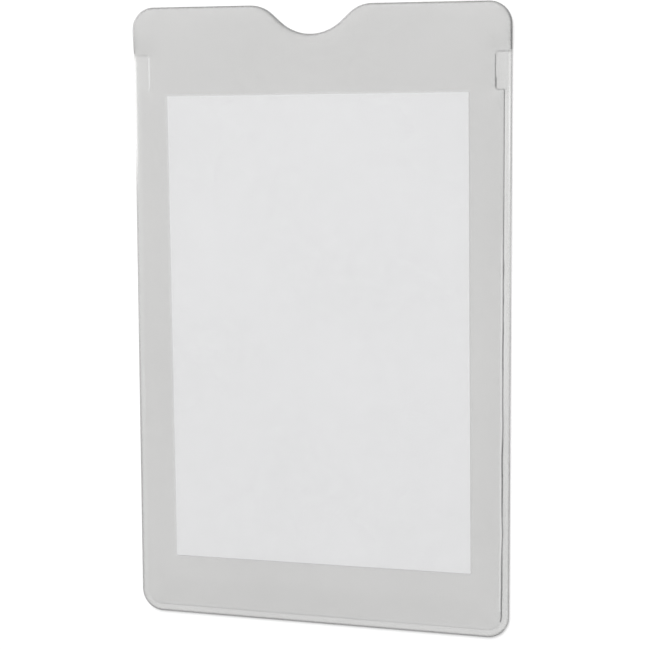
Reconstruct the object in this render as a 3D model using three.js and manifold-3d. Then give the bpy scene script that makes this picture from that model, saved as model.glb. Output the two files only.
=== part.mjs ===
// A clear vinyl file jacket, lying flat on its back with a card in its pocket.
// Two sheets of film are welded together along the sides and the bottom and stay open
// at the top, where a thumb notch is cut through both. Each side weld ends in a wider tab.
// X runs across the jacket, Y runs up it to the open mouth, and Z runs up out of its face.
import * as THREE from "three";
import { mergeVertices } from "three/addons/utils/BufferGeometryUtils.js";
import Module from "manifold-3d";

const wasm = await Module();
wasm.setup();

// Outline of the jacket, in millimetres
const jacketWidth = 127.0;
const jacketHeight = 202.0;
const cornerRadius = 7.2;

// Thumb notch in the mouth: a round bottom and two round shoulders joined by straight flanks
const notchShift = -2.0;
const notchDepth = 9.3;
const notchBottomRadius = 15.5;
const notchShoulderRadius = 11.0;
const notchFlankAngle = THREE.MathUtils.degToRad(42);

// Film, before and after the welding die has pressed it
const backFilm = 0.3;
const frontFilm = 0.3;
const weldedFilm = 0.2;

// Weld along the sides and the bottom, with the bead that the die squeezes out at the edge
const weldWidth = 2.6;
const beadWidth = 0.7;
const beadHeight = 0.12;
const beadBevel = 0.1;

// Weld tab at the top end of each side weld
const tabWidth = 5.2;
const tabLength = 11.7;
const tabBelowMouth = 15.2;
const tabCornerRadius = 1.0;

// Card in the pocket, a little off the middle and slightly turned
const cardWidth = 101.6;
const cardHeight = 153.5;
const cardThickness = 0.3;
const cardShiftX = -0.5;
const cardShiftY = -4.2;
const cardTurn = THREE.MathUtils.degToRad(0.45);

// Air over the card, and the room kept between the card's edge and the foot of the slope
const airOverCard = 0.6;
const slopeClearance = 0.5;

// How finely round and sloping stretches are divided
const arcSteps = 8;
const slopeSteps = 6;
const flatSteps = 4;

// How far the weld reaches in under the raised film, so that the two are one piece
const weldLap = 0.15;

// Places that follow from the sizes
const right = jacketWidth / 2;
const left = -right;
const mouth = jacketHeight / 2;
const bottom = -mouth;
const tabTop = mouth - tabBelowMouth;
const tabFoot = tabTop - tabLength;
const backTop = backFilm;
const pocketLift = cardThickness + airOverCard;
const cardHalfSpan = (cardWidth / 2) * Math.cos(cardTurn) + (cardHeight / 2) * Math.sin(cardTurn);
const cardReach = cardHalfSpan + Math.abs(cardShiftX);
const slopeLength = right - weldWidth - cardReach - slopeClearance;

const film = new THREE.MeshStandardMaterial({
  color: 0xcfcfce,
  roughness: 0.3,
  metalness: 0,
  transparent: true,
  opacity: 0.5,
});
const card = new THREE.MeshStandardMaterial({ color: 0xf4f4f6, roughness: 0.85, metalness: 0 });

// Adds the mouth edge from left to right: half way round each top corner lies outside this
// stretch, and the notch lies in the middle of it.
function addMouthEdge(shape) {
  const rise = Math.cos(notchFlankAngle);
  const run = Math.sin(notchFlankAngle);
  const arcsFall = (notchBottomRadius + notchShoulderRadius) * (1 - rise);
  const flankLength = (notchDepth - arcsFall) / run;
  const halfWidth = (notchBottomRadius + notchShoulderRadius) * run + flankLength * rise;
  const shoulderY = mouth - notchShoulderRadius;
  const bottomY = mouth - notchDepth + notchBottomRadius;
  const quarter = Math.PI / 2;
  const turn = notchFlankAngle;
  shape.absarc(notchShift - halfWidth, shoulderY, notchShoulderRadius, quarter, quarter - turn, true);
  shape.absarc(notchShift, bottomY, notchBottomRadius, -quarter - turn, -quarter + turn, false);
  shape.absarc(notchShift + halfWidth, shoulderY, notchShoulderRadius, quarter + turn, quarter, true);
}

// The whole outline of a sheet, clockwise from the left side.
function sheetShape() {
  const shape = new THREE.Shape();
  const r = cornerRadius;
  shape.moveTo(left, bottom + r);
  shape.lineTo(left, mouth - r);
  shape.absarc(left + r, mouth - r, r, Math.PI, Math.PI / 2, true);
  addMouthEdge(shape);
  shape.absarc(right - r, mouth - r, r, Math.PI / 2, 0, true);
  shape.lineTo(right, bottom + r);
  shape.absarc(right - r, bottom + r, r, 0, -Math.PI / 2, true);
  shape.absarc(left + r, bottom + r, r, -Math.PI / 2, -Math.PI, true);
  return shape;
}

// Everything that the welding die leaves free: the pocket inside the weld, and all that lies
// above the tabs. Inset moves its edge away from the weld.
function freeShape(inset) {
  const shape = new THREE.Shape();
  const margin = 1;
  const seamX = right - weldWidth - inset;
  const tabX = right - tabWidth - inset;
  const seamY = bottom + weldWidth + inset;
  const footY = tabFoot - inset;
  const topY = tabTop + inset;
  const r = Math.max(cornerRadius - weldWidth - inset, tabCornerRadius);
  const t = Math.min(tabCornerRadius, (tabWidth - weldWidth) / 2);
  const quarter = Math.PI / 2;
  shape.moveTo(left - margin, topY);
  shape.lineTo(left - margin, mouth + margin);
  shape.lineTo(right + margin, mouth + margin);
  shape.lineTo(right + margin, topY);
  shape.absarc(tabX + t, topY - t, t, quarter, 2 * quarter, false);
  shape.absarc(tabX + t, footY + t, t, 2 * quarter, 3 * quarter, false);
  shape.lineTo(seamX, footY);
  shape.absarc(seamX - r, seamY + r, r, 0, -quarter, true);
  shape.absarc(-seamX + r, seamY + r, r, -quarter, -2 * quarter, true);
  shape.lineTo(-seamX, footY);
  shape.absarc(-tabX - t, footY + t, t, -quarter, 0, false);
  shape.absarc(-tabX - t, topY - t, t, 0, quarter, false);
  return shape;
}

// The bead along the outer edge of the weld, drawn past the outline that trims it. Its bevel
// widens it to its full width.
function beadShape() {
  const shape = new THREE.Shape();
  const margin = 1;
  const r = cornerRadius + margin;
  const s = cornerRadius - beadWidth + beadBevel;
  const cx = right - cornerRadius;
  const cy = bottom + cornerRadius;
  const topY = tabTop - beadBevel;
  shape.moveTo(-cx - r, topY);
  shape.absarc(-cx, cy, r, Math.PI, 1.5 * Math.PI, false);
  shape.absarc(cx, cy, r, 1.5 * Math.PI, 2 * Math.PI, false);
  shape.lineTo(cx + r, topY);
  shape.lineTo(cx + s, topY);
  shape.absarc(cx, cy, s, 2 * Math.PI, 1.5 * Math.PI, true);
  shape.absarc(-cx, cy, s, 1.5 * Math.PI, Math.PI, true);
  shape.lineTo(-cx - s, topY);
  return shape;
}

// The shape as a polygon, its arcs divided and the doubled points where they meet left out.
function polygon(shape) {
  const least = 1e-3;
  const points = shape.getPoints(arcSteps);
  const kept = points.filter((point, i) => point.distanceTo(points.at(i - 1)) > least);
  return new THREE.Shape(kept);
}

// A plate of the given outline between two heights.
function plate(shape, low, high) {
  const settings = { depth: high - low, bevelEnabled: false };
  return new THREE.ExtrudeGeometry(polygon(shape), settings).translate(0, 0, low);
}

// Distance from a point to an axis-aligned rectangle, nought inside it.
function distanceToRectangle(x, y, x0, x1, y0, y1) {
  const dx = Math.max(x0 - x, 0, x - x1);
  const dy = Math.max(y0 - y, 0, y - y1);
  return Math.hypot(dx, dy);
}

// How far the front sheet stands off the back sheet: it leaves the weld at a crease, and
// levels out at the full lift a slope's length away. The rounded inner corners of the weld count as weld.
function standOff(x, y) {
  const ax = Math.abs(x);
  const side = distanceToRectangle(ax, y, right - weldWidth, right, bottom, tabTop);
  const tab = distanceToRectangle(ax, y, right - tabWidth, right, tabFoot, tabTop);
  const base = distanceToRectangle(ax, y, 0, right, bottom, bottom + weldWidth);
  const innerRadius = cornerRadius - weldWidth;
  const cornerX = ax - (right - cornerRadius);
  const cornerY = bottom + cornerRadius - y;
  const corner = innerRadius - Math.hypot(Math.max(cornerX, 0), Math.max(cornerY, 0));
  const inCorner = cornerX > 0 && cornerY > 0;
  const gap = inCorner ? Math.max(corner, 0) : Math.min(side, tab, base);
  const share = Math.min(gap / slopeLength, 1);
  return pocketLift * Math.sin((share * Math.PI) / 2);
}

// Places from start to end, both included.
function spread(start, end, steps) {
  return Array.from({ length: steps + 1 }, (_, i) => THREE.MathUtils.lerp(start, end, i / steps));
}

// Sorts places and drops those that lie almost on the one before.
function gridLines(places) {
  const least = 0.05;
  const sorted = [...places].sort((a, b) => a - b);
  return sorted.filter((place, i) => i === 0 || place - sorted[i - 1] > least);
}

// A closed sheet over a rectangle, its underside at low(x, y) and its top a thickness above.
function formedSheet(xs, ys, low, thickness) {
  const positions = [];
  const indices = [];
  const layer = xs.length * ys.length;
  for (const above of [0, thickness]) {
    for (const y of ys) {
      for (const x of xs) {
        positions.push(x, y, low(x, y) + above);
      }
    }
  }
  const at = (i, j) => j * xs.length + i;
  const quad = (a, b, c, d) => indices.push(a, b, c, a, c, d);
  for (let j = 0; j + 1 < ys.length; j += 1) {
    for (let i = 0; i + 1 < xs.length; i += 1) {
      const corners = [at(i, j), at(i + 1, j), at(i + 1, j + 1), at(i, j + 1)];
      const [a, b, c, d] = corners.map((corner) => corner + layer);
      quad(a, b, c, d);
      quad(corners[0], corners[3], corners[2], corners[1]);
    }
  }
  const rim = [];
  const lastX = xs.length - 1;
  const lastY = ys.length - 1;
  for (let i = 0; i < lastX; i += 1) rim.push(at(i, 0));
  for (let j = 0; j < lastY; j += 1) rim.push(at(lastX, j));
  for (let i = lastX; i > 0; i -= 1) rim.push(at(i, lastY));
  for (let j = lastY; j > 0; j -= 1) rim.push(at(0, j));
  rim.forEach((from, k) => {
    const to = rim[(k + 1) % rim.length];
    quad(from, to, to + layer, from + layer);
  });
  const geometry = new THREE.BufferGeometry();
  geometry.setAttribute("position", new THREE.Float32BufferAttribute(positions, 3));
  geometry.setIndex(indices);
  return geometry;
}

// A closed geometry as a solid that can be joined and cut.
function toSolid(geometry) {
  const bare = geometry.clone();
  bare.deleteAttribute("normal");
  bare.deleteAttribute("uv");
  const merged = mergeVertices(bare, 1e-5);
  const vertProperties = new Float32Array(merged.attributes.position.array);
  const triVerts = new Uint32Array(merged.index.array);
  return new wasm.Manifold(new wasm.Mesh({ numProp: 3, vertProperties, triVerts }));
}

function toGeometry(solid) {
  const mesh = solid.getMesh();
  const geometry = new THREE.BufferGeometry();
  const positions = new THREE.Float32BufferAttribute(mesh.vertProperties, mesh.numProp);
  geometry.setAttribute("position", positions);
  geometry.setIndex(new THREE.Uint32BufferAttribute(mesh.triVerts, 1));
  geometry.computeVertexNormals();
  return geometry;
}

function part(name, geometry, material) {
  const mesh = new THREE.Mesh(geometry, material);
  mesh.name = name;
  return mesh;
}

// Back sheet: one flat piece of film with the notch cut in its top edge.
function makeBackSheet() {
  return part("back_sheet", plate(sheetShape(), 0, backTop), film);
}

// Front sheet: pressed thin along the weld, with a bead at its edge, and standing off the
// back sheet everywhere else to make the pocket.
function makeFrontSheet() {
  const margin = 1;
  const seamX = right - weldWidth;
  const tabX = right - tabWidth;
  const seamY = bottom + weldWidth;
  const slopeX = spread(seamX, seamX - slopeLength, slopeSteps);
  const tabSlopeX = spread(tabX, tabX - slopeLength, slopeSteps);
  const middleX = spread(0, tabX - slopeLength, flatSteps);
  const halfX = [...slopeX, ...tabSlopeX, ...middleX, right + margin];
  const xs = gridLines([...halfX, ...halfX.map((x) => -x)]);
  const ys = gridLines([
    bottom - margin,
    ...spread(seamY, seamY + slopeLength, slopeSteps),
    ...spread(seamY + slopeLength, tabFoot - slopeLength, flatSteps),
    ...spread(tabFoot - slopeLength, tabFoot, slopeSteps),
    ...spread(tabTop, tabTop + slopeLength, slopeSteps),
    mouth + margin,
  ]);
  const low = (x, y) => backTop + standOff(x, y);
  const formed = toSolid(formedSheet(xs, ys, low, frontFilm));
  const sheetPrism = toSolid(plate(sheetShape(), backTop, backTop + pocketLift + margin));
  const freePrism = toSolid(plate(freeShape(0), backTop - margin, backTop + pocketLift + margin));
  const cutPrism = toSolid(plate(freeShape(weldLap), backTop - margin, backTop + margin));
  const weld = toSolid(plate(sheetShape(), backTop, backTop + weldedFilm)).subtract(cutPrism);
  const beadSettings = {
    depth: weldedFilm,
    bevelThickness: beadHeight,
    bevelSize: beadBevel,
    bevelSegments: 2,
  };
  const beadOutline = polygon(beadShape());
  const bead = new THREE.ExtrudeGeometry(beadOutline, beadSettings).translate(0, 0, backTop);
  const edge = toSolid(bead).intersect(sheetPrism);
  const sheet = formed.intersect(sheetPrism).intersect(freePrism).add(weld).add(edge);
  return part("front_sheet", toGeometry(sheet), film);
}

// Insert card: a plain white rectangle lying on the back sheet inside the pocket.
function makeInsertCard() {
  const shape = new THREE.Shape();
  const corners = [
    [-1, -1],
    [1, -1],
    [1, 1],
    [-1, 1],
  ];
  const points = corners.map(([sx, sy]) => {
    const point = new THREE.Vector2((sx * cardWidth) / 2, (sy * cardHeight) / 2);
    point.rotateAround(new THREE.Vector2(), cardTurn);
    return point.add(new THREE.Vector2(cardShiftX, cardShiftY));
  });
  shape.setFromPoints(points);
  return part("insert_card", plate(shape, backTop, backTop + cardThickness), card);
}

const group = new THREE.Group();
group.add(makeBackSheet());
group.add(makeInsertCard());
group.add(makeFrontSheet());

export default group;
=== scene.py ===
"""Dresses the vinyl file jacket: its welded front sheet, its back sheet and the card in its
pocket."""

import math

import bpy
import numpy as np
from mathutils import Matrix, Vector
from mathutils.kdtree import KDTree


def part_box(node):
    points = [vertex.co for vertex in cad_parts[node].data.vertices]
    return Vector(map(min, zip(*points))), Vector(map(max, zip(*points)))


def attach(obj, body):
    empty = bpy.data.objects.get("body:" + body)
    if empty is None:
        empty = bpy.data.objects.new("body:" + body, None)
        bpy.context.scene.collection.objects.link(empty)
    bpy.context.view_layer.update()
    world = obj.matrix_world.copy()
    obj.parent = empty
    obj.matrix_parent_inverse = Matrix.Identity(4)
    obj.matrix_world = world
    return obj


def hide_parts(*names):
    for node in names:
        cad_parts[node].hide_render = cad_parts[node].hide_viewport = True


bl_info = {
    "name": "Vinyl File Jacket",
    "version": (1, 0, 0),
    "blender": (4, 5, 0),
    "location": "3D View > Sidebar > Jacket",
    "description": "Models and finishes a welded vinyl file jacket with a card in it",
    "category": "Object",
}

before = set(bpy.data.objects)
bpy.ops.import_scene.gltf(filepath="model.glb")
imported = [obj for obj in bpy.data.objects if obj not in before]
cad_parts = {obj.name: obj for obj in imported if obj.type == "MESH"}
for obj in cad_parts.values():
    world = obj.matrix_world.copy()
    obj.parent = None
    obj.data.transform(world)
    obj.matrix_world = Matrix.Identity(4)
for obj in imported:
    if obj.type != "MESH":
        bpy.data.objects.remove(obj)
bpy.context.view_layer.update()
MM = 0.001

# Places read from the frame
BACK_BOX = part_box("back_sheet")
FRONT_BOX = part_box("front_sheet")
CARD_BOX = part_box("insert_card")
CARD_MIDDLE = [(CARD_BOX[0][i] + CARD_BOX[1][i]) / 2 for i in (0, 1)]
RIGHT = BACK_BOX[1][0]
BOTTOM = BACK_BOX[0][1]
MOUTH = BACK_BOX[1][1]
BACK_TOP = BACK_BOX[1][2]
FACE_TOP = FRONT_BOX[1][2]

# Where the free flaps by the mouth end, and how far up the stronger painted shade along the bottom
# edge reaches
FLAP_FOOT = MOUTH - 15 * MM
FOOT_TOP = BOTTOM + 3 * MM

# The camera that sees the flat jacket as the photograph shows it
PHOTO_WIDTH_PX = 650
FOCAL_LENGTH_PX = 1925.0
SENSOR_WIDTH_MM = 36.0
CAMERA_PLACE = Vector((195.5, 70.9, 589.2)) * MM
CAMERA_RIGHT = Vector((0.95026, -0.00530, -0.31141))
CAMERA_UP = Vector((-0.03124, 0.99319, -0.11223))

# Steps in millimetres between mesh lines: out from a crease, in from a cut edge and out from
# the card's edge
CREASE_STEPS = (0, 0.1, 0.22, 0.36, 0.5, 0.7)
EDGE_STEPS = (0.06, 0.25, 0.45, 0.7, 1.0, 1.3)
CARD_STEPS = (-0.9, -0.4, -0.15, -0.03, 0.03, 0.25, 0.5, 0.8, 1.2, 1.7, 2.3)

# The middle range of a noise pattern, where nearly all of its values lie
NOISE_LOW = 0.3
NOISE_HIGH = 0.7

# Sockets of a colour Mix node, whose names are shared with its other kinds
MIX_A = 6
MIX_B = 7
MIX_RESULT = 2


class JacketSizes(bpy.types.PropertyGroup):
    """Sizes of the front sheet's weld and pocket."""

    corner_radius: bpy.props.FloatProperty(
        name="Corner radius",
        description="Radius of the jacket's corners",
        default=7.2 * MM,
        unit="LENGTH",
    )
    film: bpy.props.FloatProperty(
        name="Film",
        description="Thickness of one sheet of film",
        default=0.3 * MM,
        unit="LENGTH",
    )
    welded_film: bpy.props.FloatProperty(
        name="Welded film",
        description="Thickness of the front film where the die has pressed it",
        default=0.2 * MM,
        unit="LENGTH",
    )
    weld_width: bpy.props.FloatProperty(
        name="Weld width",
        description="Width of the weld along the sides and the bottom",
        default=2.2 * MM,
        unit="LENGTH",
    )
    tab_width: bpy.props.FloatProperty(
        name="Tab width",
        description="Width of the weld tab, from the jacket's edge",
        default=5.05 * MM,
        unit="LENGTH",
    )
    tab_length: bpy.props.FloatProperty(
        name="Tab length",
        description="Length of the weld tab along the side",
        default=11.4 * MM,
        unit="LENGTH",
    )
    tab_below_mouth: bpy.props.FloatProperty(
        name="Tab below mouth",
        description="Distance from the mouth's edge to the top of the tab",
        default=15.7 * MM,
        unit="LENGTH",
    )
    slope: bpy.props.FloatProperty(
        name="Slope",
        description="Distance over which the front sheet rises from the weld",
        default=8.3 * MM,
        unit="LENGTH",
    )
    foot_slope: bpy.props.FloatProperty(
        name="Foot slope",
        description="Distance over which the front sheet rises from the bottom weld",
        default=14.5 * MM,
        unit="LENGTH",
    )
    bead_height: bpy.props.FloatProperty(
        name="Bead height",
        description="Height of the bead squeezed out along the outer edge",
        default=0.12 * MM,
        unit="LENGTH",
    )
    bead_inset: bpy.props.FloatProperty(
        name="Bead inset",
        description="Distance from the outer edge to the bead's crest",
        default=0.45 * MM,
        unit="LENGTH",
    )
    lip_height: bpy.props.FloatProperty(
        name="Lip height",
        description="Height of the ridge squeezed out along the weld's inner edge",
        default=0.06 * MM,
        unit="LENGTH",
    )
    crease_width: bpy.props.FloatProperty(
        name="Crease width",
        description="Distance over which the pressed film thickens to loose film",
        default=0.5 * MM,
        unit="LENGTH",
    )
    tab_corner_radius: bpy.props.FloatProperty(
        name="Tab corner radius",
        description="Radius of the weld tab's inner corners",
        default=0.8 * MM,
        unit="LENGTH",
    )
    seam_waver: bpy.props.FloatProperty(
        name="Seam waver",
        description="How far the lower side seams wander",
        default=0.12 * MM,
        unit="LENGTH",
    )
    card_width: bpy.props.FloatProperty(
        name="Card width",
        description="Width of the card in the pocket",
        default=101.6 * MM,
        unit="LENGTH",
    )
    card_height: bpy.props.FloatProperty(
        name="Card height",
        description="Height of the card in the pocket",
        default=153.5 * MM,
        unit="LENGTH",
    )
    card_turn: bpy.props.FloatProperty(
        name="Card turn",
        description="How far the card is turned from straight",
        default=math.radians(0.45),
        subtype="ANGLE",
    )
    waver: bpy.props.FloatProperty(
        name="Waver",
        description="How far the loose film's surface dips where it wavers",
        default=0.12 * MM,
        unit="LENGTH",
    )
    fine_cell: bpy.props.FloatProperty(
        name="Fine cell",
        description="Spacing of the mesh along welds and edges",
        default=0.35 * MM,
        unit="LENGTH",
    )
    coarse_cell: bpy.props.FloatProperty(
        name="Coarse cell",
        description="Spacing of the mesh over the loose film",
        default=2.2 * MM,
        unit="LENGTH",
    )


class JacketColours(bpy.types.PropertyGroup):
    """Colours of the jacket, its painted highlights and painted shade, the card and the floor, as
    sRGB hex.
    """

    film: bpy.props.StringProperty(
        name="Film",
        description="Colour of the hazy film",
        default="#DADAD9",
    )
    weld: bpy.props.StringProperty(
        name="Weld",
        description="Colour of the welded band",
        default="#DEDEDD",
    )
    # Colour of the painted highlights: bright lines along the weld and edges, and the painted glow
    # round the card
    painted_highlight: bpy.props.StringProperty(
        name="Glint",
        description="Colour of the bright lines of squeezed-out vinyl",
        default="#FFFFFF",
    )
    # Colour of the painted shade in the crease along the weld, along the cut edges and by the
    # mouth
    painted_shade: bpy.props.StringProperty(
        name="Crease",
        description="Colour of the crease along the weld and of the cut edges",
        default="#141414",
    )
    card: bpy.props.StringProperty(
        name="Card",
        description="Colour of the card",
        default="#F4F4F7",
    )
    floor: bpy.props.StringProperty(
        name="Floor",
        description="Colour of the floor",
        default="#FAFAFA",
    )


def linear(code):
    """An sRGB hex colour as linear red, green, blue and alpha."""
    channels = [int(code[i : i + 2], 16) / 255 for i in (1, 3, 5)]
    curve = [c / 12.92 if c <= 0.04045 else ((c + 0.055) / 1.055) ** 2.4 for c in channels]
    return (*curve, 1.0)


def add_node(tree, kind, settings=None, links=None):
    """Adds a node, with its properties and socket values set and its inputs linked."""
    node = tree.nodes.new(kind)
    for name, value in (settings or {}).items():
        if isinstance(name, int) or name in node.inputs:
            node.inputs[name].default_value = value
        else:
            setattr(node, name, value)
    for name, source in (links or {}).items():
        tree.links.new(source, node.inputs[name])
    return node


def new_material(name):
    """An empty node material, and the tree that its nodes go in."""
    material = bpy.data.materials.new(name)
    material.use_nodes = True
    material.node_tree.nodes.clear()
    return material, material.node_tree


def wear_material(piece, material):
    """Gives a piece one material all over, in every slot that it has."""
    if not piece.material_slots:
        piece.data.materials.append(material)
    for slot in piece.material_slots:
        slot.material = material


def calendered_vinyl(colours):
    """Clear PVC film, rolled and slightly hazy: it greys what lies under it, shines softly, and
    has faint streaks along the roll. Painted highlight lines, a painted glow round the card and
    painted shade in the creases and along the cut edges are mixed into its colour. Its alpha
    counts at both faces of each sheet."""
    vinyl_ior = 1.53
    face_alpha = 0.30
    clear_shade = 0.985
    hazy_shade = 1.015
    clear_roughness = 0.24
    hazy_roughness = 0.34
    # Hazier patches about 40 mm across, and streaks from the rolls 0.9 mm wide and 22 mm long
    cloud_size = 40 * MM
    streak_size = (0.9 * MM, 22 * MM, 0.9 * MM)
    streak_depth = 0.02 * MM
    streak_strength = 0.2
    material, tree = new_material("calendered_vinyl")
    place = add_node(tree, "ShaderNodeTexCoord")
    cloud = add_node(
        tree,
        "ShaderNodeTexNoise",
        {"Scale": 1 / cloud_size, "Detail": 2.0},
        {"Vector": place.outputs["Object"]},
    )
    stretch = add_node(
        tree,
        "ShaderNodeMapping",
        {"Scale": [1 / size for size in streak_size]},
        {"Vector": place.outputs["Object"]},
    )
    streak = add_node(
        tree,
        "ShaderNodeTexNoise",
        {"Scale": 1.0, "Detail": 1.0},
        {"Vector": stretch.outputs["Vector"]},
    )
    weld = add_node(tree, "ShaderNodeAttribute", {"attribute_name": "weld"})
    painted_highlight = add_node(tree, "ShaderNodeAttribute", {"attribute_name": "painted_highlight"})
    painted_shade = add_node(tree, "ShaderNodeAttribute", {"attribute_name": "painted_shade"})
    banded = add_node(
        tree,
        "ShaderNodeMix",
        {"data_type": "RGBA", MIX_A: linear(colours.film), MIX_B: linear(colours.weld)},
        {"Factor": weld.outputs["Fac"]},
    )
    # Painted highlight lines and the painted glow round the card, mixed over the film's own colour
    with_painted_highlight = add_node(
        tree,
        "ShaderNodeMix",
        {"data_type": "RGBA", MIX_B: linear(colours.painted_highlight)},
        {"Factor": painted_highlight.outputs["Fac"], MIX_A: banded.outputs[MIX_RESULT]},
    )
    # Painted shade in the creases, along the cut edges and by the mouth, mixed over the rest
    with_painted_shade = add_node(
        tree,
        "ShaderNodeMix",
        {"data_type": "RGBA", MIX_B: linear(colours.painted_shade)},
        {"Factor": painted_shade.outputs["Fac"], MIX_A: with_painted_highlight.outputs[MIX_RESULT]},
    )
    shade = add_node(
        tree,
        "ShaderNodeMapRange",
        {
            "From Min": NOISE_LOW,
            "From Max": NOISE_HIGH,
            "To Min": clear_shade,
            "To Max": hazy_shade,
        },
        {"Value": cloud.outputs["Fac"]},
    )
    clouded = add_node(
        tree,
        "ShaderNodeVectorMath",
        {"operation": "SCALE"},
        {"Vector": with_painted_shade.outputs[MIX_RESULT], "Scale": shade.outputs["Result"]},
    )
    gloss = add_node(
        tree,
        "ShaderNodeMapRange",
        {
            "From Min": NOISE_LOW,
            "From Max": NOISE_HIGH,
            "To Min": clear_roughness,
            "To Max": hazy_roughness,
        },
        {"Value": cloud.outputs["Fac"]},
    )
    ripple = add_node(
        tree,
        "ShaderNodeBump",
        {"Strength": streak_strength, "Distance": streak_depth},
        {"Height": streak.outputs["Fac"]},
    )
    surface = add_node(
        tree,
        "ShaderNodeBsdfPrincipled",
        {"IOR": vinyl_ior, "Alpha": face_alpha},
        {
            "Base Color": clouded.outputs["Vector"],
            "Roughness": gloss.outputs["Result"],
            "Normal": ripple.outputs["Normal"],
        },
    )
    add_node(tree, "ShaderNodeOutputMaterial", None, {"Surface": surface.outputs["BSDF"]})
    return material


def uncoated_card(colours):
    """Uncoated white card, pressed from pulp: matte, faintly mottled, with a fine fibre grain."""
    # Mottle about 4.5 mm across. The fibres are drawn 0.4 mm wide and 1.1 mm long, coarser than
    # real ones of 0.03 mm, which no view of the whole card shows
    mottle_size = 4.5 * MM
    fibre_size = (0.4 * MM, 1.1 * MM, 0.4 * MM)
    fibre_depth = 0.02 * MM
    fibre_strength = 0.3
    mottle_shade = 0.975
    card_roughness = 0.9
    card_ior = 1.45
    material, tree = new_material("uncoated_card")
    place = add_node(tree, "ShaderNodeTexCoord")
    mottle = add_node(
        tree,
        "ShaderNodeTexNoise",
        {"Scale": 1 / mottle_size, "Detail": 3.0},
        {"Vector": place.outputs["Object"]},
    )
    stretch = add_node(
        tree,
        "ShaderNodeMapping",
        {"Scale": [1 / size for size in fibre_size]},
        {"Vector": place.outputs["Object"]},
    )
    fibre = add_node(
        tree,
        "ShaderNodeTexNoise",
        {"Scale": 1.0, "Detail": 2.0},
        {"Vector": stretch.outputs["Vector"]},
    )
    shade = add_node(
        tree,
        "ShaderNodeMapRange",
        {
            "From Min": NOISE_LOW,
            "From Max": NOISE_HIGH,
            "To Min": mottle_shade,
            "To Max": 1.0,
        },
        {"Value": mottle.outputs["Fac"]},
    )
    mottled = add_node(
        tree,
        "ShaderNodeVectorMath",
        {"operation": "SCALE", "Vector": linear(colours.card)[:3]},
        {"Scale": shade.outputs["Result"]},
    )
    grain = add_node(
        tree,
        "ShaderNodeBump",
        {"Strength": fibre_strength, "Distance": fibre_depth},
        {"Height": fibre.outputs["Fac"]},
    )
    surface = add_node(
        tree,
        "ShaderNodeBsdfPrincipled",
        {"Roughness": card_roughness, "IOR": card_ior},
        {"Base Color": mottled.outputs["Vector"], "Normal": grain.outputs["Normal"]},
    )
    add_node(tree, "ShaderNodeOutputMaterial", None, {"Surface": surface.outputs["BSDF"]})
    return material


def seen_rays(tree):
    """One for the rays that the background shows in, to the eye and in gloss, else nought."""
    path = add_node(tree, "ShaderNodeLightPath")
    looked_at = add_node(
        tree,
        "ShaderNodeMath",
        {"operation": "ADD"},
        {0: path.outputs["Is Camera Ray"], 1: path.outputs["Is Glossy Ray"]},
    )
    seen = add_node(
        tree,
        "ShaderNodeMath",
        {"operation": "ADD", "use_clamp": True},
        {0: looked_at.outputs["Value"], 1: path.outputs["Is Transmission Ray"]},
    )
    return seen.outputs["Value"]


def studio_floor(colours):
    """Matte white studio paper: it keeps the shadows, and shows a little white of its own, so
    that it meets the white round it without a line."""
    own_white = 0.1
    material, tree = new_material("studio_floor")
    share = add_node(
        tree,
        "ShaderNodeMath",
        {"operation": "MULTIPLY", 1: own_white},
        {0: seen_rays(tree)},
    )
    matte = add_node(tree, "ShaderNodeBsdfDiffuse", {"Color": linear(colours.floor)})
    white = add_node(tree, "ShaderNodeEmission", {"Strength": 1.0})
    blend = add_node(
        tree,
        "ShaderNodeMixShader",
        None,
        {0: share.outputs["Value"], 1: matte.outputs["BSDF"], 2: white.outputs["Emission"]},
    )
    add_node(tree, "ShaderNodeOutputMaterial", None, {"Surface": blend.outputs["Shader"]})
    return material


def deselect_all():
    """Leaves object mode with nothing selected."""
    if bpy.context.object and bpy.context.object.mode != "OBJECT":
        bpy.ops.object.mode_set(mode="OBJECT")
    bpy.ops.object.select_all(action="DESELECT")


def pick(piece):
    """Selects one piece only and makes it active."""
    deselect_all()
    piece.select_set(True)
    bpy.context.view_layer.objects.active = piece


def apply_modifier(piece, name, kind, **settings):
    """Adds a modifier, sets it and applies it."""
    pick(piece)
    modifier = piece.modifiers.new(name, kind)
    for key, value in settings.items():
        setattr(modifier, key, value)
    bpy.ops.object.modifier_apply(modifier=name)


def read_points(piece):
    """The piece's points as an array of x, y and z."""
    flat = np.empty(len(piece.data.vertices) * 3)
    piece.data.vertices.foreach_get("co", flat)
    return flat.reshape(-1, 3)


def write_points(piece, points):
    """Moves the piece's points to the array's places."""
    piece.data.vertices.foreach_set("co", points.ravel())
    piece.data.update()


def weld_gap(x, y, sizes):
    """Distance from each point to the weld, nought on it. The weld is a U with a tab at the top
    of each side and round inner corners."""
    across = np.abs(x)
    tab_top = MOUTH - sizes.tab_below_mouth
    seam_x = RIGHT - sizes.weld_width
    seam_y = BOTTOM + sizes.weld_width
    side = np.hypot(np.maximum(seam_x - across, 0), np.maximum(y - tab_top, 0))
    round_end = sizes.tab_corner_radius
    from_middle = np.abs(y - tab_top + sizes.tab_length / 2)
    tab_x = np.maximum(RIGHT - sizes.tab_width + round_end - across, 0)
    tab_y = np.maximum(from_middle - sizes.tab_length / 2 + round_end, 0)
    tab = np.maximum(np.hypot(tab_x, tab_y) - round_end, 0)
    base = np.maximum(y - seam_y, 0)
    gap = np.minimum(np.minimum(side, tab), base)
    corner_x = across - (RIGHT - sizes.corner_radius)
    corner_y = BOTTOM + sizes.corner_radius - y
    inner_radius = sizes.corner_radius - sizes.weld_width
    corner = np.maximum(inner_radius - np.hypot(corner_x, corner_y), 0)
    return np.where((corner_x > 0) & (corner_y > 0), corner, gap)


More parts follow.
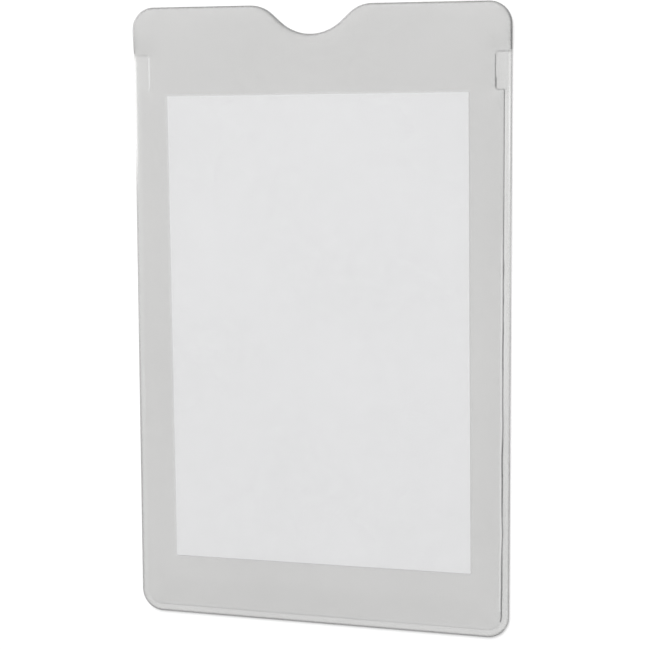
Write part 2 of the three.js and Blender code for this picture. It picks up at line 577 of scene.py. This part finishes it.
def edge_inset(x, y, sizes):
    """Distance from each point in to the jacket's sides and bottom, round its lower corners."""
    across = np.abs(x)
    corner_x = across - (RIGHT - sizes.corner_radius)
    corner_y = BOTTOM + sizes.corner_radius - y
    inset = np.minimum(RIGHT - across, y - BOTTOM)
    corner = sizes.corner_radius - np.hypot(corner_x, corner_y)
    return np.where((corner_x > 0) & (corner_y > 0), corner, inset)


def seam_waver(x, y, sizes):
    """How far the side seams wander from their straight lines, across the jacket. They wander
    low down only, and film away from them stays in place."""
    long_wave = 6.1 * MM
    short_wave = 2.7 * MM
    short_share = 0.6
    short_lag = 1.3
    straight_above = 20 * MM
    full_below = -40 * MM
    reach = 1.2 * MM
    seam = RIGHT - sizes.weld_width
    wave = np.sin(y / long_wave) + short_share * np.sin(y / short_wave + short_lag)
    lower = ramp(y, straight_above, full_below)
    return sizes.seam_waver * wave * lower * bump_profile(np.abs(x), seam, reach)


def ramp(value, low, high):
    """Nought at low and before, one at high and beyond, smooth between."""
    share = np.clip((value - low) / (high - low), 0, 1)
    return share * share * (3 - 2 * share)


def bump_profile(distance, crest, half_width):
    """A smooth ridge, one at its crest and fading to nought a few half widths away."""
    return np.exp(-(((distance - crest) / half_width) ** 2))


def drift(y, wave, inner_wave, inner_share):
    """Rises and falls unevenly along the jacket, from one below nought to one above it."""
    return np.sin(y / wave + inner_share * np.sin(y / inner_wave))


def pocket_dip(x, y):
    """How far the loose film dips over the pocket, from nought to one: broad swells, with
    narrower ones aslant across them."""
    broad_x = 17 * MM
    broad_y = 23 * MM
    lag_x = 0.6
    lag_y = 1.1
    slant_x = 7.3 * MM
    slant_y = 11.9 * MM
    slant_share = 0.5
    swell = np.sin(x / broad_x + lag_x) * np.sin(y / broad_y + lag_y)
    swell = swell + slant_share * np.sin(x / slant_x - y / slant_y)
    return 0.5 + swell / (2 * (1 + slant_share))


def weld_pucker(x, y, gap):
    """Small folds that the weld draws into the loose film, dying away from it."""
    height = 0.025 * MM
    fold = 1.7 * MM
    long_fold = 9 * MM
    long_share = 1.5
    slant = 2.3 * MM
    fade = 2.5 * MM
    full_from = MM
    wave = np.sin(y / fold + long_share * np.sin(y / long_fold) + x / slant)
    return height * wave * np.exp(-gap / fade) * np.minimum(gap / full_from, 1)


def front_underside(x, y, sizes):
    """Height of the front sheet's underside: it leaves the weld at a crease and levels out, and
    more slowly so near the bottom."""
    slow_to = BOTTOM + 5 * MM
    quick_from = BOTTOM + 20 * MM
    clear_of_back = 0.02 * MM
    gap = weld_gap(x, y, sizes)
    lift = FACE_TOP - sizes.film - BACK_TOP
    by_foot = 1 - ramp(y, slow_to, quick_from)
    share = np.minimum(gap / (sizes.slope + (sizes.foot_slope - sizes.slope) * by_foot), 1)
    rise = lift * np.sin(share * math.pi / 2)
    dip = sizes.waver * pocket_dip(x, y) * share
    pucker = weld_pucker(x, y, gap)
    return BACK_TOP + clear_of_back + np.maximum(rise - dip + pucker - clear_of_back, 0)


def front_top(x, y, sizes):
    """Height of the front sheet's top: pressed thin along the weld, with a bead at the outer
    edge and a lip at the inner one."""
    bead_half = 0.28 * MM
    lip_crest = 0.55 * MM
    lip_half = 0.35 * MM
    gap = weld_gap(x, y, sizes)
    inset = edge_inset(x, y, sizes)
    bead = sizes.bead_height * bump_profile(inset, sizes.bead_inset, bead_half)
    pressed = BACK_TOP + sizes.welded_film + bead
    lip = sizes.lip_height * bump_profile(gap, lip_crest, lip_half)
    loose = front_underside(x, y, sizes) + sizes.film + lip
    share = ramp(gap, 0, sizes.crease_width)
    return np.minimum(pressed + (loose - pressed) * share, FACE_TOP)


def spread(start, end, cell):
    """Places from start to end, at most a cell apart."""
    steps = max(int(math.ceil(abs(end - start) / cell)), 1)
    return [start + (end - start) * i / steps for i in range(steps + 1)]


def merge_places(exact, others):
    """Sorts places, with each exact one kept and no other one close to those kept."""
    least = 0.12 * MM
    kept = sorted(exact)
    for place in others:
        if min(abs(place - other) for other in kept) > least:
            kept.append(place)
    return sorted(kept)


def mesh_columns(sizes):
    """Places across the jacket: close together at the welds, edges, card's sides and notch."""
    tab = RIGHT - sizes.tab_width
    notch_reach = 26 * MM
    notch_cell = 0.9 * MM
    border_cell = 0.8 * MM
    card_reach = sizes.card_width / 2
    card_margin = 3 * MM
    exact = beside(RIGHT - sizes.weld_width, -1, CREASE_STEPS)
    exact += beside(tab, -1, CREASE_STEPS)
    exact += beside(RIGHT, -1, EDGE_STEPS)
    exact += [-place for place in exact]
    exact += beside(CARD_MIDDLE[0] + card_reach, 1, CARD_STEPS)
    exact += beside(CARD_MIDDLE[0] - card_reach, -1, CARD_STEPS)
    half = spread(0, notch_reach, notch_cell)
    half += spread(notch_reach, card_reach - MM, sizes.coarse_cell)
    half += spread(card_reach + card_margin, tab - MM, border_cell)
    half += spread(tab - MM, RIGHT + MM, sizes.fine_cell)
    return merge_places(exact, half + [-place for place in half])


def mesh_rows(sizes):
    """Places up the jacket: close together at the bottom weld, the tabs' ends, the card's ends
    and the mouth."""
    corner_top = BOTTOM + sizes.corner_radius
    card_foot = CARD_MIDDLE[1] - sizes.card_height / 2
    card_head = CARD_MIDDLE[1] + sizes.card_height / 2
    tab_top = MOUTH - sizes.tab_below_mouth
    tab_foot = tab_top - sizes.tab_length
    near = 1.5 * MM
    border_cell = MM
    mouth_cell = 0.6 * MM
    exact = beside(BOTTOM + sizes.weld_width, 1, CREASE_STEPS)
    exact += beside(tab_foot, -1, CREASE_STEPS)
    exact += beside(tab_top, 1, CREASE_STEPS)
    exact += beside(BOTTOM, 1, EDGE_STEPS)
    exact += beside(MOUTH, -1, EDGE_STEPS)
    exact += beside(card_foot, -1, CARD_STEPS)
    exact += beside(card_head, 1, CARD_STEPS)
    rows = spread(BOTTOM - MM, corner_top, sizes.fine_cell)
    rows += spread(corner_top, card_foot - 2 * near, border_cell)
    rows += spread(card_foot + near, card_head - near, sizes.coarse_cell)
    rows += spread(card_head + near, tab_top - near, border_cell)
    rows += spread(tab_foot - near, tab_foot + near, sizes.fine_cell)
    rows += spread(tab_top - near, tab_top + near, sizes.fine_cell)
    rows += spread(tab_top + near, MOUTH + MM, mouth_cell)
    return merge_places(exact, rows)


def beside(line, side, steps):
    """Places at the given steps from a line, in millimetres, out to the given side."""
    return [line + side * step * MM for step in steps]


def follow_card(points, sizes):
    """Turns the mesh lines that lie near the card's edges, so that they run along them."""
    reach = 2.5 * MM
    near = 0.7 * MM
    far = 6 * MM
    from_x = points[:, 0] - CARD_MIDDLE[0]
    from_y = points[:, 1] - CARD_MIDDLE[1]
    out_x = np.abs(from_x) - sizes.card_width / 2
    out_y = np.abs(from_y) - sizes.card_height / 2
    by_side = bump_profile(out_x, 0, reach) * ramp(out_y, far, near)
    by_end = bump_profile(out_y, 0, reach) * ramp(out_x, far, near)
    points[:, 0] -= from_y * math.tan(sizes.card_turn) * by_side
    points[:, 1] += from_x * math.tan(sizes.card_turn) * by_end


def make_outline_cutter():
    """A tall prism of the jacket's outline, drawn up from a copy of the back sheet."""
    same_point = 0.001 * MM
    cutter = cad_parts["back_sheet"].copy()
    cutter.data = cutter.data.copy()
    cutter.parent = None
    for key in list(cutter.keys()):
        del cutter[key]
    cutter.name = "outline_cutter"
    bpy.context.scene.collection.objects.link(cutter)
    cutter.hide_viewport = False
    cutter.hide_set(False)
    pick(cutter)
    bpy.ops.object.mode_set(mode="EDIT")
    bpy.ops.mesh.select_all(action="SELECT")
    bpy.ops.mesh.remove_doubles(threshold=same_point)
    bpy.ops.object.mode_set(mode="OBJECT")
    points = read_points(cutter)
    points[:, 2] = np.where(points[:, 2] > BACK_TOP / 2, FACE_TOP + MM, -MM)
    write_points(cutter, points)
    return cutter


def grid_sheet(name, sizes):
    """A flat grid with its columns and rows at the given places, given the film's thickness."""
    xs = mesh_columns(sizes)
    ys = mesh_rows(sizes)
    deselect_all()
    bpy.ops.mesh.primitive_grid_add(x_subdivisions=len(xs) - 1, y_subdivisions=len(ys) - 1, size=2)
    sheet = bpy.context.object
    sheet.name = name
    sheet.data.name = name
    points = read_points(sheet)
    column = np.rint((points[:, 0] + 1) / 2 * (len(xs) - 1)).astype(int)
    row = np.rint((points[:, 1] + 1) / 2 * (len(ys) - 1)).astype(int)
    points[:, 0] = np.array(xs)[column]
    points[:, 1] = np.array(ys)[row]
    follow_card(points, sizes)
    write_points(sheet, points)
    apply_modifier(sheet, "Thickness", "SOLIDIFY", thickness=sizes.film, offset=-1.0)
    return sheet


def trim_sheet(sheet):
    """Trims a sheet to the jacket's outline, merges the slivers away and smooths its faces."""
    sliver = 0.004 * MM
    smooth_below = math.radians(40)
    cutter = make_outline_cutter()
    apply_modifier(sheet, "Trim", "BOOLEAN", operation="INTERSECT", object=cutter, solver="EXACT")
    bpy.data.objects.remove(cutter)
    pick(sheet)
    bpy.ops.object.mode_set(mode="EDIT")
    bpy.ops.mesh.select_all(action="SELECT")
    bpy.ops.mesh.remove_doubles(threshold=sliver)
    bpy.ops.mesh.dissolve_degenerate(threshold=sliver)
    bpy.ops.object.mode_set(mode="OBJECT")
    bpy.ops.object.shade_smooth_by_angle(angle=smooth_below)


def mark_points(piece, name, values):
    """Stores one number for each point, for the material to read."""
    mark = piece.data.attributes.new(name, "FLOAT", "POINT")
    mark.data.foreach_set("value", values.astype(np.float32))


def cut_edge_gap(piece):
    """Distance from each point to the nearest cut edge, as seen from above."""
    upright = 0.5
    mesh = piece.data
    on_edge = set()
    for face in mesh.polygons:
        if abs(face.normal.z) < upright:
            on_edge.update(face.vertices)
    tree = KDTree(len(on_edge))
    for index in on_edge:
        place = mesh.vertices[index].co
        tree.insert((place.x, place.y, 0), index)
    tree.balance()
    return np.array([tree.find((point.co.x, point.co.y, 0))[2] for point in mesh.vertices])


def card_gap(x, y, sizes):
    """Distance from each point out to the card's outline, below nought over the card."""
    cosine = math.cos(sizes.card_turn)
    sine = math.sin(sizes.card_turn)
    from_x = x - CARD_MIDDLE[0]
    from_y = y - CARD_MIDDLE[1]
    past_side = np.abs(from_x * cosine + from_y * sine) - sizes.card_width / 2
    past_end = np.abs(from_y * cosine - from_x * sine) - sizes.card_height / 2
    outside = np.hypot(np.maximum(past_side, 0), np.maximum(past_end, 0))
    return np.where(outside > 0, outside, np.maximum(past_side, past_end))


def make_back_sheet(sizes):
    """The back sheet: a flat grid of film, trimmed."""
    sheet = grid_sheet("back_film", sizes)
    points = read_points(sheet)
    points[:, 2] = np.where(points[:, 2] > -sizes.film / 2, BACK_TOP, 0)
    write_points(sheet, points)
    trim_sheet(sheet)
    return sheet


def make_front_sheet(sizes):
    """The front sheet: a fine grid of film, pressed to the weld's form and trimmed."""
    sheet = grid_sheet("welded_front_sheet", sizes)
    points = read_points(sheet)
    x = points[:, 0].copy()
    y = points[:, 1].copy()
    is_top = points[:, 2] > -sizes.film / 2
    points[:, 2] = np.where(is_top, front_top(x, y, sizes), front_underside(x, y, sizes))
    points[:, 0] = x + seam_waver(x, y, sizes)
    write_points(sheet, points)
    trim_sheet(sheet)
    return sheet


def crease_shade_depth(x, y, sizes):
    """How dark the painted shade in the crease along the weld is: deep on the right, faint on the
    left.
    """
    tab_top = MOUTH - sizes.tab_below_mouth
    tab_foot = tab_top - sizes.tab_length
    near = 0.7 * MM
    foot_reach = 2 * MM
    right_upper = 0.88
    right_lower_extra = 0.12
    left_side = 0.08
    foot_left = 0.12
    foot_fade = 0.08
    uneven = 0.5 + 0.5 * drift(y, wave=9.3 * MM, inner_wave=4.1 * MM, inner_share=0.7)
    right_side = right_upper + right_lower_extra * ramp(y, 0, -45 * MM) * uneven
    foot = foot_left - foot_fade * ramp(x, 0, 35 * MM)
    on_foot = y < BOTTOM + sizes.corner_radius - foot_reach
    at_tab_top = y > tab_top - near
    at_tab_foot = np.abs(y - tab_foot) < near
    beside_tab = (y > tab_foot) & (y < tab_top)
    places = [on_foot, at_tab_top, at_tab_foot, beside_tab]
    # One depth for each of the places
    right_depths = [foot, 0.22, 0.75, 0.85]
    left_depths = [foot, 0.06, 0.22, 0.0]
    right = np.select(places, right_depths, right_side)
    left = np.select(places, left_depths, left_side)
    return np.where(x > 0, right, left)


def edge_shade_depth(x, y):
    """How dark the painted shade along the cut edge is: strong round the mouth and low down,
    fainter at the sides, and faintest a little above the middle of the right one."""
    mouth_depth = 1.0
    foot_depth = 0.8
    left_upper = 0.55 * ramp(y, 60 * MM, 35 * MM)
    left_lower = 0.3 * ramp(y, 10 * MM, -50 * MM)
    right_side = 0.45
    right_lower = 0.15 * ramp(y, -20 * MM, -60 * MM)
    right_gap = 0.2 * bump_profile(y, crest=22 * MM, half_width=18 * MM)
    left = left_upper + left_lower
    right = right_side + right_lower
    right = right - right_gap
    side = np.where(x > 0, right, left)
    side = np.where(y < FOOT_TOP, foot_depth, side)
    return np.where(y > FLAP_FOOT, mouth_depth, side)


def right_painted_highlights(y, gap, inset, sizes):
    """Painted highlight lines on the right: one inside the outer edge in a pale painted band, and
    one on each side of the crease."""
    tab_top = MOUTH - sizes.tab_below_mouth
    tab_foot = tab_top - sizes.tab_length
    foot_reach = 9 * MM
    band_strength = 0.12
    weld_strength = 0.6
    film_strength = 0.7
    weld_crest = sizes.weld_width - 0.3 * MM
    uneven = 0.75 + 0.25 * drift(y, wave=7.7 * MM, inner_wave=3.9 * MM, inner_share=1.1)
    not_low = ramp(y, -38 * MM, -12 * MM)
    line = bump_profile(inset, crest=0.7 * MM, half_width=0.27 * MM) * uneven
    line = line * ramp(y, tab_top + MM, tab_top - 3 * MM) * ramp(y, 22 * MM, 40 * MM)
    band = band_strength * bump_profile(inset, crest=1.2 * MM, half_width=0.9 * MM)
    band = band * ramp(y, tab_foot, tab_foot - 6 * MM) * not_low
    in_weld = weld_strength * bump_profile(inset, crest=weld_crest, half_width=0.22 * MM)
    in_weld = in_weld * ramp(y, tab_foot, tab_foot - 3 * MM) * not_low
    in_film = film_strength * bump_profile(gap, crest=0.6 * MM, half_width=0.24 * MM)
    in_film = in_film * (y > BOTTOM + foot_reach) * ramp(y, 34 * MM, 20 * MM)
    return np.maximum.reduce([line, band, in_weld, in_film])


def left_painted_highlights(y, gap, inset, sizes):
    """Painted highlight lines on the left: one along the top of the outer edge and one down the
    tab.
    """
    tab_top = MOUTH - sizes.tab_below_mouth
    beside_tab = (y > tab_top - sizes.tab_length) & (y < tab_top) & (gap > 0)
    by_edge = bump_profile(inset, crest=0.3 * MM, half_width=0.35 * MM)
    by_edge = by_edge * ramp(y, tab_top + MM, tab_top - 3 * MM) * ramp(y, 30 * MM, 55 * MM)
    by_tab = bump_profile(gap, crest=0.1 * MM, half_width=0.26 * MM) * beside_tab
    return np.maximum(by_edge, by_tab)


def mark_sheet(sheet, sizes, painted_glow):
    """Marks the welded band, painted shade in the creases, along the cut edges and by the mouth,
    painted highlight lines along the weld and edges, and a painted glow round the card that stands
    in for the light the hazy film spreads from it."""
    crease_shade_crest = 0.08 * MM
    upper_crease_shade_half = 0.22
    lower_crease_shade_more = 0.07
    right_edge_shade_half = 0.33 * MM
    edge_shade_half = 0.48 * MM
    mouth_shade = 0.12
    mouth_shade_half = 1.6 * MM
    mouth_reach = 13 * MM
    painted_glow_half = 0.45 * MM
    points = read_points(sheet)
    y = points[:, 1]
    x = points[:, 0] - seam_waver(points[:, 0], y, sizes)
    gap = weld_gap(x, y, sizes)
    inset = edge_inset(x, y, sizes)
    # Painted shade in the crease along the weld, wider lower down
    crease_shade_half = (upper_crease_shade_half + lower_crease_shade_more * ramp(y, 45 * MM, 20 * MM)) * MM
    painted_shade = bump_profile(gap, crease_shade_crest, crease_shade_half) * (gap > 0)
    painted_shade = painted_shade * crease_shade_depth(x, y, sizes)
    # Painted shade along the cut edges, and a wide faint band of painted shade by the mouth
    cut_gap = cut_edge_gap(sheet)
    on_right = (x > 0) & (y < FLAP_FOOT) & (y > FOOT_TOP)
    cut_edge_shade_half = np.where(on_right, right_edge_shade_half, edge_shade_half)
    cut_edge_shade = bump_profile(cut_gap, 0, cut_edge_shade_half) * edge_shade_depth(x, y)
    shade_by_mouth = mouth_shade * bump_profile(cut_gap, 0, mouth_shade_half) * (y > MOUTH - mouth_reach)
    # A painted glow round the card's outline
    painted_halo = painted_glow * bump_profile(card_gap(x, y, sizes), 0, painted_glow_half)
    right = right_painted_highlights(y, gap, inset, sizes)
    left = left_painted_highlights(y, gap, inset, sizes)
    mark_points(sheet, "weld", gap <= 0)
    mark_points(sheet, "painted_highlight", np.maximum(np.where(x > 0, right, left), painted_halo))
    mark_points(sheet, "painted_shade", np.maximum.reduce([painted_shade, cut_edge_shade, shade_by_mouth]))


class MATERIAL_OT_jacket_finishes(bpy.types.Operator):
    """Makes the film's and the card's materials, and finishes the card"""

    bl_idname = "material.jacket_finishes"
    bl_label = "Finishes"
    bl_options = {"REGISTER", "UNDO"}

    def execute(self, context):
        colours = context.scene.jacket_colours
        calendered_vinyl(colours)
        wear_material(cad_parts["insert_card"], uncoated_card(colours))
        return {"FINISHED"}


class MESH_OT_jacket_front_sheet(bpy.types.Operator):
    """Models the front sheet with its weld, tabs and pocket"""

    bl_idname = "mesh.jacket_front_sheet"
    bl_label = "Front Sheet"
    bl_options = {"REGISTER", "UNDO"}

    def execute(self, context):
        sizes = context.scene.jacket_sizes
        # Strength of the painted glow round the card on the front sheet
        painted_card_glow = 0.12
        sheet = make_front_sheet(sizes)
        mark_sheet(sheet, sizes, painted_card_glow)
        finish_sheet(sheet, "front_sheet")
        return {"FINISHED"}


class MESH_OT_jacket_back_sheet(bpy.types.Operator):
    """Models the flat back sheet"""

    bl_idname = "mesh.jacket_back_sheet"
    bl_label = "Back Sheet"
    bl_options = {"REGISTER", "UNDO"}

    def execute(self, context):
        sizes = context.scene.jacket_sizes
        # Strength of the painted glow round the card on the back sheet
        painted_card_glow = 0.8
        sheet = make_back_sheet(sizes)
        mark_sheet(sheet, sizes, painted_card_glow)
        finish_sheet(sheet, "back_sheet")
        return {"FINISHED"}


def finish_sheet(sheet, node):
    """Gives a sheet the film's material and puts it in its CAD node's place."""
    wear_material(sheet, bpy.data.materials["calendered_vinyl"])
    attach(sheet, "root")
    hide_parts(node)


class SCENE_OT_jacket_stage(bpy.types.Operator):
    """Lays the floor, sets the studio lights and places the camera"""

    bl_idname = "scene.jacket_stage"
    bl_label = "Stage"
    bl_options = {"REGISTER", "UNDO"}

    def execute(self, context):
        lay_floor(context.scene.jacket_colours)
        light_studio()
        place_camera()
        return {"FINISHED"}


def lay_floor(colours):
    """A wide floor just under the jacket."""
    floor_size = 1.8
    below = 0.4 * MM
    deselect_all()
    bpy.ops.mesh.primitive_plane_add(size=floor_size, location=(0, 0, -below))
    floor = bpy.context.object
    floor.name = "studio_floor"
    wear_material(floor, studio_floor(colours))


def add_softbox(name, place, size, power):
    """A square soft light that faces the jacket."""
    deselect_all()
    bpy.ops.object.light_add(type="AREA", location=place)
    lamp = bpy.context.object
    lamp.name = name
    lamp.data.size = size
    lamp.data.energy = power
    lamp.rotation_euler = Vector(place).to_track_quat("Z", "Y").to_euler()
    return lamp


def light_studio():
    """An even white surround, with a soft key from the top. Most of the key shows in no
    reflection, so that the film's sheen doesn't whiten the card when seen from low down."""
    key_place = (-0.4, 2.2, 2.55)
    key_size = 2.6
    key_power = 108.0
    sheen_power = 24.0
    surround_level = 0.49
    world = bpy.data.worlds.new("studio")
    bpy.context.scene.world = world
    world.use_nodes = True
    tree = world.node_tree
    tree.nodes.clear()
    white = (1.0, 1.0, 1.0, 1.0)
    surround = add_node(
        tree,
        "ShaderNodeBackground",
        {"Color": white, "Strength": surround_level},
    )
    seen = add_node(tree, "ShaderNodeBackground", {"Color": white, "Strength": 1.0})
    both = add_node(
        tree,
        "ShaderNodeMixShader",
        None,
        {
            0: seen_rays(tree),
            1: surround.outputs["Background"],
            2: seen.outputs["Background"],
        },
    )
    add_node(tree, "ShaderNodeOutputWorld", None, {"Surface": both.outputs["Shader"]})
    key = add_softbox("key_softbox", key_place, key_size, key_power)
    key.visible_glossy = False
    add_softbox("sheen_softbox", key_place, key_size, sheen_power)


def place_camera():
    """The photograph's view of the jacket, looking down on it."""
    nearest = 0.01
    farthest = 20.0
    data = bpy.data.cameras.new("photo_camera")
    data.sensor_width = SENSOR_WIDTH_MM
    data.lens = FOCAL_LENGTH_PX / PHOTO_WIDTH_PX * SENSOR_WIDTH_MM
    data.clip_start = nearest
    data.clip_end = farthest
    camera = bpy.data.objects.new("photo_camera", data)
    bpy.context.scene.collection.objects.link(camera)
    right = CAMERA_RIGHT.normalized()
    back = right.cross(CAMERA_UP).normalized()
    up = back.cross(right)
    turn = Matrix((right, up, back)).transposed().to_4x4()
    camera.matrix_world = Matrix.Translation(CAMERA_PLACE) @ turn
    bpy.context.scene.camera = camera


class VIEW3D_PT_jacket(bpy.types.Panel):
    """Lists the jacket's steps, sizes and colours."""

    bl_label = "Vinyl File Jacket"
    bl_idname = "VIEW3D_PT_jacket"
    bl_space_type = "VIEW_3D"
    bl_region_type = "UI"
    bl_category = "Jacket"

    def draw(self, context):
        layout = self.layout
        for name in STEPS:
            layout.operator(name)
        for group in (context.scene.jacket_sizes, context.scene.jacket_colours):
            for key in group.bl_rna.properties.keys():
                if key not in ("rna_type", "name"):
                    layout.prop(group, key)


STEPS = (
    "material.jacket_finishes",
    "mesh.jacket_front_sheet",
    "mesh.jacket_back_sheet",
    "scene.jacket_stage",
)
CLASSES = (
    JacketSizes,
    JacketColours,
    MATERIAL_OT_jacket_finishes,
    MESH_OT_jacket_front_sheet,
    MESH_OT_jacket_back_sheet,
    SCENE_OT_jacket_stage,
    VIEW3D_PT_jacket,
)


def register():
    """Adds the classes and the scene's settings."""
    for cls in CLASSES:
        bpy.utils.register_class(cls)
    bpy.types.Scene.jacket_sizes = bpy.props.PointerProperty(type=JacketSizes)
    bpy.types.Scene.jacket_colours = bpy.props.PointerProperty(type=JacketColours)


def unregister():
    """Takes the classes and the scene's settings away."""
    del bpy.types.Scene.jacket_colours
    del bpy.types.Scene.jacket_sizes
    for cls in reversed(CLASSES):
        bpy.utils.unregister_class(cls)


def main():
    register()
    bpy.context.scene.view_settings.view_transform = "Standard"
    bpy.ops.material.jacket_finishes()
    bpy.ops.mesh.jacket_front_sheet()
    bpy.ops.mesh.jacket_back_sheet()
    bpy.ops.scene.jacket_stage()


if __name__ == "__main__":
    main()
